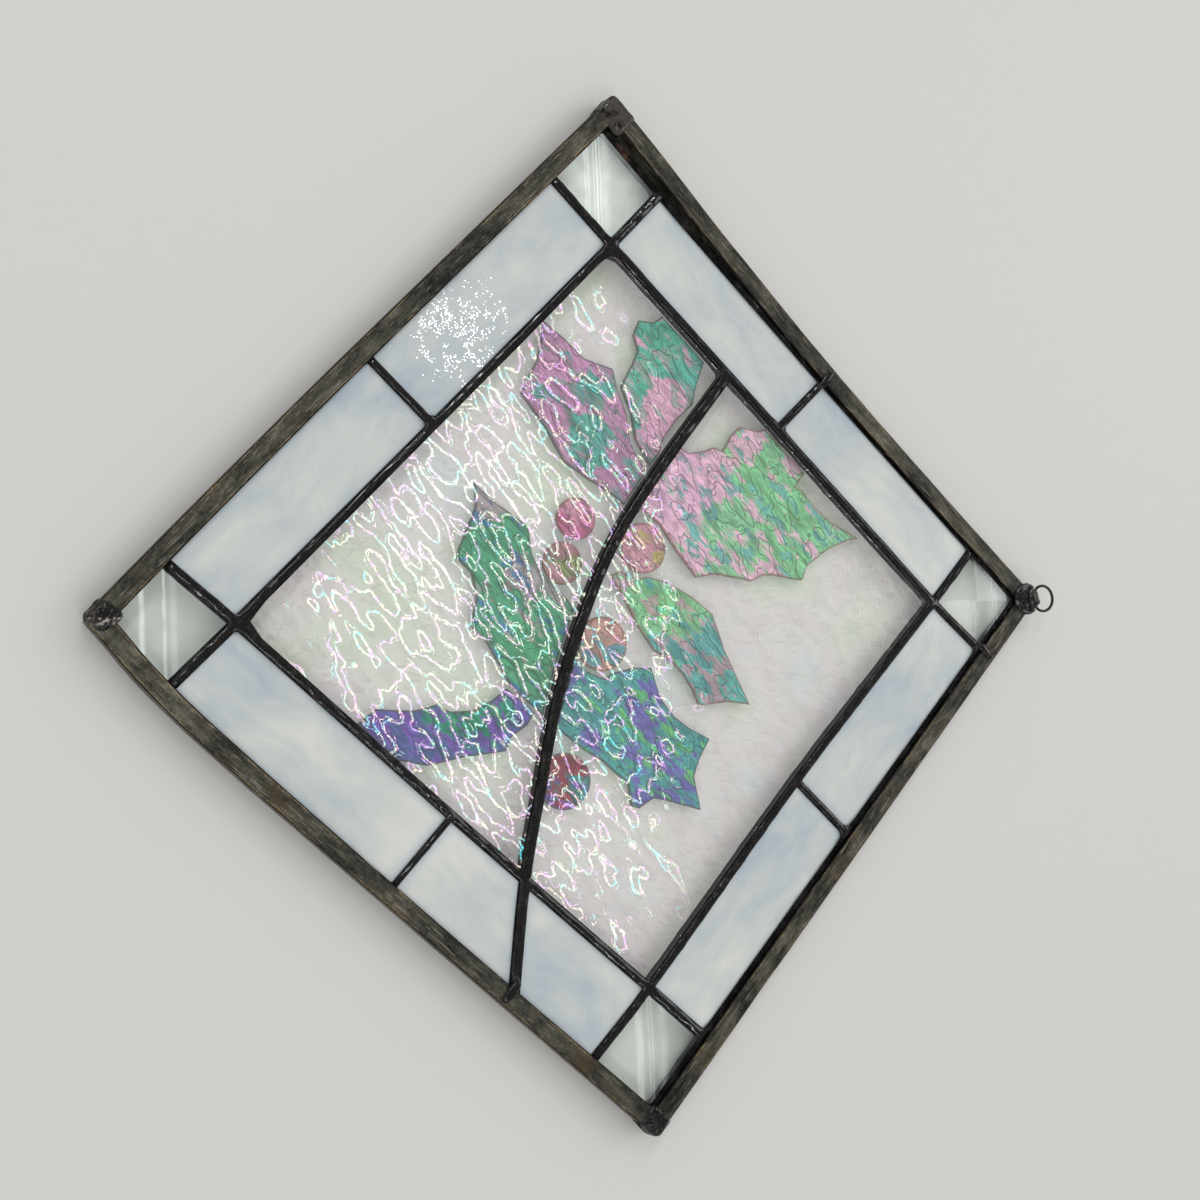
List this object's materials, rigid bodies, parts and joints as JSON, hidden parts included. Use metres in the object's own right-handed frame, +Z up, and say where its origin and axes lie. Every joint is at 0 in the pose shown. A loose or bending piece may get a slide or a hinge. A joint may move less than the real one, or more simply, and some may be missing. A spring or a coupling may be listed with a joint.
{
  "type": "stained glass suncatcher",
  "caption": "Square leaded glass panel with holly leaves and berries behind clear panes, hung corner up by a small ring",
  "frame": {"origin": "inside the hanging ring at its top, where a hook or cord bears, with the panel hanging below it", "axes": "+Z up as the panel hangs, corner up; the front faces -Y; +X to the right as seen from the front"},
  "size_m": [0.3219, 0.0101, 0.3296],
  "materials": {
    "came": "dark patina over lead came, edges worn to brassy metal",
    "solder": "black patina over solder, semi-gloss",
    "ring_wire": "tinned wire with black patina",
    "bevel_glass": "clear, with polished bevels",
    "opal_glass": "white wispy opal, glossy",
    "ripple_glass": "clear, rippled, faintly iridescent",
    "leaf_glass": "iridescent teal, green and mauve",
    "berry_glass": "iridescent dark red"
  },
  "bodies": {
    "root": {"came_lower_left": "came", "came_lower_right": "came", "came_upper_left": "came", "came_upper_right": "came", "solder_joint_bottom": "solder", "solder_joint_left": "solder", "solder_joint_right": "solder", "solder_joint_top": "solder", "hanging_ring": "ring_wire", "solder_seams": "solder", "bevel_bottom": "bevel_glass", "bevel_left": "bevel_glass", "bevel_right": "bevel_glass", "bevel_top": "bevel_glass", "border_lower_left_1": "opal_glass", "border_lower_left_2": "opal_glass", "border_lower_right_1": "opal_glass", "border_lower_right_2": "opal_glass", "border_lower_right_3": "opal_glass", "border_upper_left_1": "opal_glass", "border_upper_left_2": "opal_glass", "border_upper_right_1": "opal_glass", "border_upper_right_2": "opal_glass", "pane_left": "ripple_glass", "pane_right": "ripple_glass", "holly_leaf_1": "leaf_glass", "holly_leaf_2": "leaf_glass", "holly_leaf_3": "leaf_glass", "holly_leaf_4": "leaf_glass", "holly_leaf_5": "leaf_glass", "holly_leaf_6": "leaf_glass", "holly_leaf_7": "leaf_glass", "holly_berry_1": "berry_glass", "holly_berry_2": "berry_glass", "holly_berry_3": "berry_glass", "holly_berry_4": "berry_glass", "holly_berry_5": "berry_glass"}
  },
  "joints": []
}
